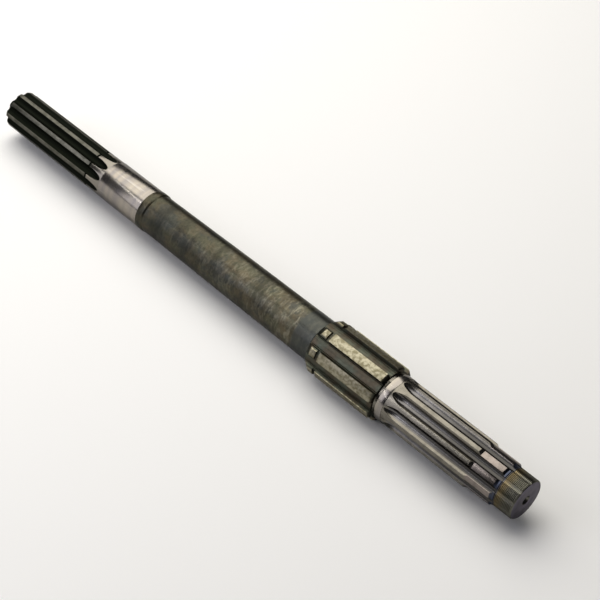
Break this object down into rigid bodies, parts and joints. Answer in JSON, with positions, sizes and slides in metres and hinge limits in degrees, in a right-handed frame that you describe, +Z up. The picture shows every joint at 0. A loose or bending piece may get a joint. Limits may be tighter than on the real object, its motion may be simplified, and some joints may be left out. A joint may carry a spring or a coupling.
{
  "type": "splined shaft",
  "caption": "Long steel transmission shaft: an involute spline at each end, a straight-tooth splined band with a ring groove, ground seats, a rough body and a threaded tip.",
  "frame": {"origin": "on the axis, in the end face of the splined band that faces the threaded tip", "axes": "+X along the shaft towards the threaded tip; +Z up, through the middle of a tooth space of the splined band, so that the shaft lies on two teeth of the band"},
  "size_m": [0.7097, 0.0584, 0.0584],
  "materials": {
    "shaft_steel": "dark oxidised body and band, bright ground seats, near-black far spline"
  },
  "bodies": {
    "root": {"splined_shaft": "shaft_steel"}
  },
  "joints": []
}
